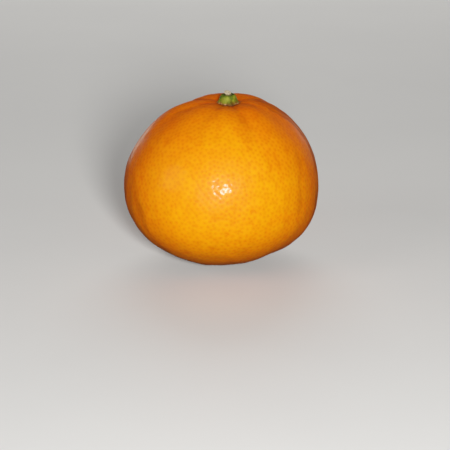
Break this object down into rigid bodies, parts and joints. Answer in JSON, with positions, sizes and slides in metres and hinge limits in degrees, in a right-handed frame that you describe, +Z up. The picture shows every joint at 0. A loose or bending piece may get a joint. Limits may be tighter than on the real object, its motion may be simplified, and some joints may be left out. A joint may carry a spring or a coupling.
{
  "type": "mandarin",
  "caption": "Whole ripe mandarin orange with its green calyx and a short clipped stalk stub, resting on its base.",
  "frame": {"origin": "middle of the fruit's outline, at the surface that it stands on", "axes": "+Z up through the crown, -Y to the front that the picture shows, +X to the right of it"},
  "size_m": [0.0618, 0.062, 0.0556],
  "materials": {
    "rind": "thin waxy satin rind, closely pitted with oil glands, no real leather",
    "calyx": "tough green sepals with a dry pale rim, half matt",
    "stalk": "pale clipped wood, matt, with a dark bark edge"
  },
  "bodies": {
    "root": {"fruit": "rind", "calyx": "calyx", "stalk_stub": "stalk"}
  },
  "joints": []
}
